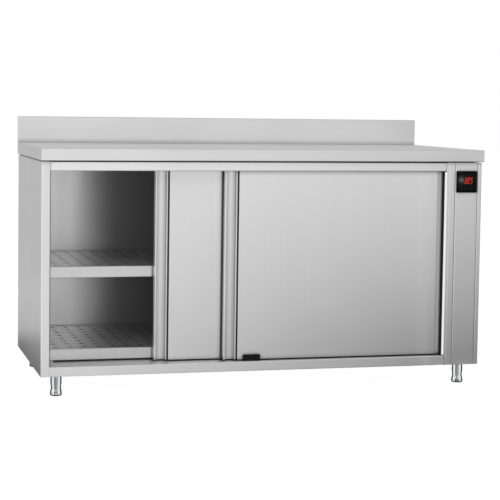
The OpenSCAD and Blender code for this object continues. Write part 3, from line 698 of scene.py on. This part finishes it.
for material, names in finishes.items():
    for name in names:
        for slot in nodes[name].material_slots:
            slot.material = material
plain = sorted(set(nodes) - {n for names in finishes.values() for n in names})
print("finishes given, nodes without one:", plain)


def selectOnly(*pieces):
    bpy.ops.object.select_all(action="DESELECT")
    for piece in pieces:
        piece.select_set(True)
    bpy.context.view_layer.objects.active = pieces[0]


# In edit mode, selects the vertices whose place passes the test
def pick(piece, test):
    mesh = bmesh.from_edit_mesh(piece.data)
    bpy.ops.mesh.select_mode(type="VERT")
    for v in mesh.verts:
        v.select_set(test(v.co))
    mesh.select_flush_mode()
    bmesh.update_edit_mesh(piece.data)


def applyPlace(piece):
    selectOnly(piece)
    bpy.ops.object.transform_apply(location=True, rotation=True, scale=True)


# A box of the given size round its middle, to be shaped further
def addBox(middle, size):
    bpy.ops.mesh.primitive_cube_add(size=1, location=middle)
    box = bpy.context.object
    box.scale = size
    applyPlace(box)
    return box


def roundEdges(piece, width, segments):
    bevel = piece.modifiers.new("softEdge", "BEVEL")
    bevel.width = width * mm
    bevel.segments = segments
    bpy.ops.object.modifier_apply(modifier=bevel.name)


def smoothBelow(piece, degrees):
    selectOnly(piece)
    bpy.ops.object.shade_smooth_by_angle(angle=math.radians(degrees))
    return piece


def joinPieces(name, parts):
    selectOnly(*parts)
    bpy.ops.object.join()
    joined = bpy.context.object
    joined.name = joined.data.name = name
    return joined


# Gives a piece its finish, its slot and the body that it rides on
def seat(piece, material, body, replaced=()):
    piece.data.materials.clear()
    piece.data.materials.append(material)
    applyPlace(piece)
    if replaced:
        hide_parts(*replaced)
    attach(piece, body)


# Controller front: glass, digits and touch marks, in mm from the glass's middle
display = {
    "glass": 70,               # width and height of the glass
    "glassThick": 0.6,
    "glassCorner": 2.5,
    "glassEdge": 0.35,
    "digits": "305",
    "pointAfter": 2,           # the decimal point follows this many digits
    "pointStretch": 1.02,
    "digitSize": (5.2, 21.5),
    "digitPitch": 12.2,
    "segment": 0.8,
    "segmentThick": 0.2,
    "segmentGap": 0.4,
    "slant": 14,               # degrees
    "digitsAt": (6.0, 4.5),    # middle of the digits
    "marks": ((-20, 3.4), (-8, 2.6), (4, 3.4), (16, 2.6)),     # place and width of each touch mark
    "marksAt": -16,
    "markLine": 0.3,
    "ruleAt": -24,             # the fine line under the marks
    "ruleLength": 56,
    "ruleLine": 0.25,
    "inkFlatness": 0.3,
}
litSegments = {"0": "abcdef", "3": "abcdg", "5": "acdfg"}

# Light from red diodes behind a diffuser: a warm red, a little uneven
litRed = {
    "colour": "#3A0504",
    "glow": "#FF3A2C",
    "strength": (2.3, 2.7),
    "patch": 3,                # mm
    "roughness": 0.4,
}


def glowRed():
    r = litRed
    material, tree, shader, place = newMaterial("litRedSegments", r["colour"], r["roughness"])
    setInputs(tree, shader, {"Emission Color": linear(r["glow"])})
    uneven = grain(tree, place, [r["patch"]] * 3, detail=1.0)
    vary(tree, shader, "Emission Strength", uneven, r["strength"])
    return material


def addSegment(place, length, turn):
    d = display
    bpy.ops.mesh.primitive_cylinder_add(vertices=6, radius=d["segment"] / 2 * mm,
                                        depth=d["segmentThick"] * mm, rotation=(math.pi / 2, 0, 0))
    piece = bpy.context.object
    applyPlace(piece)
    stretch = (length - d["segment"]) / 2 * mm
    bpy.ops.object.mode_set(mode="EDIT")
    for way in (1, -1):
        pick(piece, lambda co: co.z * way > 0)
        bpy.ops.transform.translate(value=(0, 0, way * stretch))
    bpy.ops.object.mode_set(mode="OBJECT")
    piece.rotation_euler = (0, math.radians(turn), 0)
    piece.location = place
    applyPlace(piece)
    return piece


def makeDigits(front, middle):
    d = display
    w, h = d["digitSize"]
    gap = d["segmentGap"]
    lean = math.tan(math.radians(d["slant"]))
    level = {"a": h / 2, "g": 0, "d": -h / 2}
    upright = {"b": (w / 2, h / 4), "c": (w / 2, -h / 4),
               "f": (-w / 2, h / 4), "e": (-w / 2, -h / 4)}
    parts = []

    def light(x, z, length, turn):
        place = middle + Vector((x, 0, z)) * mm
        place.y = front
        parts.append(addSegment(place, length, turn))

    for i, digit in enumerate(d["digits"]):
        x0 = d["digitsAt"][0] + (i - (len(d["digits"]) - 1) / 2) * d["digitPitch"]
        for name in litSegments[digit]:
            if name in level:
                x, z, length, turn = 0, level[name], w - gap, 90
            else:
                (x, z), length, turn = upright[name], h / 2 - gap, d["slant"]
            light(x0 + x + z * lean, d["digitsAt"][1] + z, length, turn)
        if i + 1 == d["pointAfter"]:
            light(x0 + d["digitPitch"] / 2 - h / 2 * lean, d["digitsAt"][1] - h / 2,
                  d["segment"] * d["pointStretch"], 0)
    return joinPieces("display_digits", parts)


def makeGlass(front, middle):
    d = display
    halfThick = d["glassThick"] / 2 * mm
    glass = addBox((middle.x, front - halfThick, middle.z),
                   (d["glass"] * mm, d["glassThick"] * mm, d["glass"] * mm))
    bpy.ops.object.mode_set(mode="EDIT")
    bpy.ops.mesh.select_all(action="DESELECT")
    mesh = bmesh.from_edit_mesh(glass.data)
    for edge in mesh.edges:
        a, b = (v.co for v in edge.verts)
        edge.select_set(abs(a.y - b.y) > halfThick)
    bmesh.update_edit_mesh(glass.data)
    bpy.ops.mesh.bevel(offset=d["glassCorner"] * mm, segments=6, affect="EDGES")
    bpy.ops.mesh.select_all(action="DESELECT")
    pick(glass, lambda co: co.y < front - halfThick)
    bpy.ops.mesh.bevel(offset=d["glassEdge"] * mm, segments=2, affect="EDGES")
    bpy.ops.object.mode_set(mode="OBJECT")
    glass.name = glass.data.name = "display_glass"
    return glass


# Four plain rings over the touch keys, and the fine line under them
def makeTouchMarks(front, middle):
    d = display
    parts = []
    for x, wide in d["marks"]:
        bpy.ops.mesh.primitive_torus_add(major_radius=wide / 2 * mm, major_segments=24,
                                         minor_radius=d["markLine"] * mm, minor_segments=6,
                                         rotation=(math.pi / 2, 0, 0),
                                         location=middle + Vector((x, 0, d["marksAt"])) * mm)
        parts.append(bpy.context.object)
    bpy.ops.mesh.primitive_cylinder_add(vertices=6, radius=d["ruleLine"] * mm,
                                        depth=d["ruleLength"] * mm, rotation=(0, math.pi / 2, 0),
                                        location=middle + Vector((0, 0, d["ruleAt"])) * mm)
    parts.append(bpy.context.object)
    marks = joinPieces("touch_marks", parts)
    applyPlace(marks)
    bpy.ops.object.mode_set(mode="EDIT")
    bpy.ops.mesh.select_all(action="SELECT")
    bpy.ops.transform.resize(value=(1, d["inkFlatness"], 1), center_override=tuple(middle))
    bpy.ops.transform.translate(value=(0, front - middle.y, 0))
    bpy.ops.object.mode_set(mode="OBJECT")
    return marks


low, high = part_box("controller_fascia")
fasciaMiddle = (low + high) / 2
glassFront = low.y - display["glassThick"] * mm
seat(makeGlass(low.y, fasciaMiddle), moulded["smokedAcrylic"], "cabinet")
seat(makeDigits(glassFront, fasciaMiddle), glowRed(), "cabinet")
seat(makeTouchMarks(glassFront, fasciaMiddle), moulded["printedGreyInk"], "cabinet")
print("controller front modelled")


# Screws of the rear cover: pan heads with a cross recess, in mm
screw = {
    "headRadius": 4.0,
    "headHeight": 2.0,
    "dome": 1.2,
    "crossWidth": 1.0,
    "crossLength": 4.6,
    "crossDepth": 1.2,
    "crossTaper": 0.55,
    "middleHeight": 440,       # of the middle pair above the floor
}


def makeScrew():
    s = screw
    top = s["headHeight"] * mm
    bpy.ops.mesh.primitive_cylinder_add(vertices=40, radius=s["headRadius"] * mm, depth=top,
                                        location=(0, top / 2, 0), rotation=(-math.pi / 2, 0, 0))
    head = bpy.context.object
    applyPlace(head)
    bpy.ops.object.mode_set(mode="EDIT")
    pick(head, lambda co: co.y > top / 2)
    bpy.ops.mesh.bevel(offset=s["dome"] * mm, segments=5, affect="EDGES")
    bpy.ops.object.mode_set(mode="OBJECT")
    cutters = []
    for turn in (0, math.pi / 2):
        bpy.ops.mesh.primitive_cube_add(size=1, location=(0, top, 0))
        bar = bpy.context.object
        bar.scale = (s["crossLength"] * mm, 2 * s["crossDepth"] * mm, s["crossWidth"] * mm)
        bar.rotation_euler = (0, turn, 0)
        applyPlace(bar)
        bpy.ops.object.mode_set(mode="EDIT")
        pick(bar, lambda co: co.y < top)
        bpy.ops.transform.resize(value=(s["crossTaper"], 1, s["crossTaper"]),
                                 center_override=(0, 0, 0))
        bpy.ops.object.mode_set(mode="OBJECT")
        cutters.append(bar)
    for bar in cutters:
        cut = head.modifiers.new("cross", "BOOLEAN")
        cut.operation = "DIFFERENCE"
        cut.object = bar
        selectOnly(head)
        bpy.ops.object.modifier_apply(modifier=cut.name)
        bpy.data.objects.remove(bar)
    return head


def copiesAt(pattern, places):
    made = []
    for place in places:
        copy = pattern.copy()
        copy.data = pattern.data.copy()
        bpy.context.scene.collection.objects.link(copy)
        copy.location = place
        applyPlace(copy)
        made.append(copy)
    bpy.data.objects.remove(pattern)
    return made


# The middle of each screw head in the frame: the screws' box gives the outer ones
screwLow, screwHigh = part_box("service_screws")
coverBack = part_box("service_cover")[1].y
headRadius = screw["headRadius"] * mm
screwX = (screwLow.x + headRadius, screwHigh.x - headRadius)
screwZ = (screwLow.z + headRadius, screw["middleHeight"] * mm, screwHigh.z - headRadius)
screwPlaces = [(x, coverBack, z) for x in screwX for z in screwZ]
screws = joinPieces("cover_screws", copiesAt(makeScrew(), screwPlaces))
smoothBelow(screws, degrees=35)
seat(screws, zinc, "cabinet", ["service_screws"])
print("rear cover screws modelled")


# Rubber seals on the jambs: in each door's lane a flat foot with two hollow beads, in mm
seal = {
    "lane": 23,                # width of the seal in each door's lane
    "foot": 1.6,
    "footEdge": 0.5,
    "bead": 2.4,
    "beads": (0.26, 0.74),     # where the beads stand across the lane
    "beadStandsOff": 0.35,     # how far a bead's middle lies off the foot, as a share of its radius
    "beadWall": 0.9,
    "hollowDepth": 20,
}


def addSealBead(place, height):
    s = seal
    bpy.ops.mesh.primitive_cylinder_add(vertices=20, radius=s["bead"] * mm, depth=height,
                                        location=place)
    bead = bpy.context.object
    applyPlace(bead)
    bpy.ops.object.mode_set(mode="EDIT")
    bpy.ops.mesh.select_all(action="DESELECT")
    bpy.ops.mesh.select_mode(type="FACE")
    mesh = bmesh.from_edit_mesh(bead.data)
    for face in mesh.faces:
        face.select_set(abs(face.normal.z) > 0.9)      # the two ends
    bmesh.update_edit_mesh(bead.data)
    bpy.ops.mesh.inset(thickness=s["beadWall"] * mm)
    bpy.ops.mesh.extrude_region_shrink_fatten(
        TRANSFORM_OT_shrink_fatten={"value": -s["hollowDepth"] * mm})
    bpy.ops.object.mode_set(mode="OBJECT")
    return bead


def makeSeals():
    s = seal
    low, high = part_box("jamb_seals")
    lanes = [(low.y, low.y + s["lane"] * mm), (high.y - s["lane"] * mm, high.y)]
    height = high.z - low.z
    level = (low.z + high.z) / 2
    parts = []
    for y0, y1 in lanes:
        for wall, way in ((low.x, 1), (high.x, -1)):
            foot = addBox((wall + way * s["foot"] / 2 * mm, (y0 + y1) / 2, level),
                          (s["foot"] * mm, y1 - y0, height))
            roundEdges(foot, s["footEdge"], segments=3)
            parts.append(foot)
            beadX = wall + way * (s["foot"] + s["bead"] * s["beadStandsOff"]) * mm
            for share in s["beads"]:
                parts.append(addSealBead((beadX, y0 + (y1 - y0) * share, level), height))
    return smoothBelow(joinPieces("jamb_seal_strips", parts), degrees=40)


seat(makeSeals(), moulded["epdmRubber"], "cabinet", ["jamb_seals"])
print("jamb seals modelled")


# Trim on the casing, in mm: a polished bead in the corner of the right jamb, which shows as a
# bright line beside the closed door, and black foam rubber in the gap between the top rail and the
# worktop, whose black paints the shade in that gap as one dark line
jambBead = {"leg": 6.2, "ends": 2, "behindRail": 1}
railFoamShade = {"behindRail": 1.5, "depth": 7, "height": 2.4}
barEdge = 0.25


# A bar from its corners; a slanted one has its front left edge moved back to the corner behind it
def addBar(name, low, high, slanted=False):
    bar = addBox((low + high) / 2, high - low)
    if slanted:
        close = 0.1 * mm
        bpy.ops.object.mode_set(mode="EDIT")
        pick(bar, lambda co: co.x < low.x + close and co.y < low.y + close)
        bpy.ops.transform.translate(value=(0, high.y - low.y, 0))
        bpy.ops.mesh.select_all(action="SELECT")
        bpy.ops.mesh.remove_doubles(threshold=close / 10)
        bpy.ops.object.mode_set(mode="OBJECT")
    roundEdges(bar, barEdge, segments=2)
    bar.name = bar.data.name = name
    return bar


def makeJambBead():
    j = jambBead
    low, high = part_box("jamb_seals")
    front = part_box("bottom_rail")[0].y + j["behindRail"] * mm
    return addBar("jamb_bead",
                  Vector((high.x - j["leg"] * mm, front, low.z + j["ends"] * mm)),
                  Vector((high.x, front + j["leg"] * mm, high.z - j["ends"] * mm)), slanted=True)


def makeRailFoamShade():
    r = railFoamShade
    low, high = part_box("top_rail")
    start = Vector((low.x, low.y + r["behindRail"] * mm, high.z))
    return addBar("rail_foam_shade_strip", start,
                  start + Vector((high.x - low.x, r["depth"] * mm, r["height"] * mm)))


seat(makeJambBead(), beadSteel, "cabinet")
# The black foam paints the shade in the gap under the worktop's edge
seat(makeRailFoamShade(), moulded["blackFoamShadeRubber"], "cabinet")
print("jamb bead and rail foam modelled")


# Rubber wiper on the front door's left end, which closes the gap between the two doors; its grey
# paints the shade between the doors. In mm
wiper = {
    "wide": 4.6,
    "deep": 5.0,
    "clear": 0.6,              # gap to the rear door
    "tongues": 3,
    "step": 0.6,               # each tongue is this much less deep than the one before
    "groove": 0.1,
    "ends": 1,
    "edge": 0.4,
}


def makeWiperShade():
    w = wiper
    low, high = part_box("front_door_grip")
    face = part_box("rear_door_skin")[0].y
    tongue = w["wide"] / w["tongues"]
    height = high.z - low.z - 2 * w["ends"] * mm
    parts = []
    for i in range(w["tongues"]):
        strip = addBox((low.x - (i + 0.5) * tongue * mm, face - (w["clear"] + w["deep"] / 2) * mm,
                        (low.z + high.z) / 2),
                       ((tongue - w["groove"]) * mm, (w["deep"] - w["step"] * i) * mm, height))
        roundEdges(strip, w["edge"], segments=3)
        parts.append(strip)
    return smoothBelow(joinPieces("door_wiper_shade", parts), degrees=40)


seat(makeWiperShade(), moulded["greyWiperShadeRubber"], "front_door")
print("door wiper modelled")
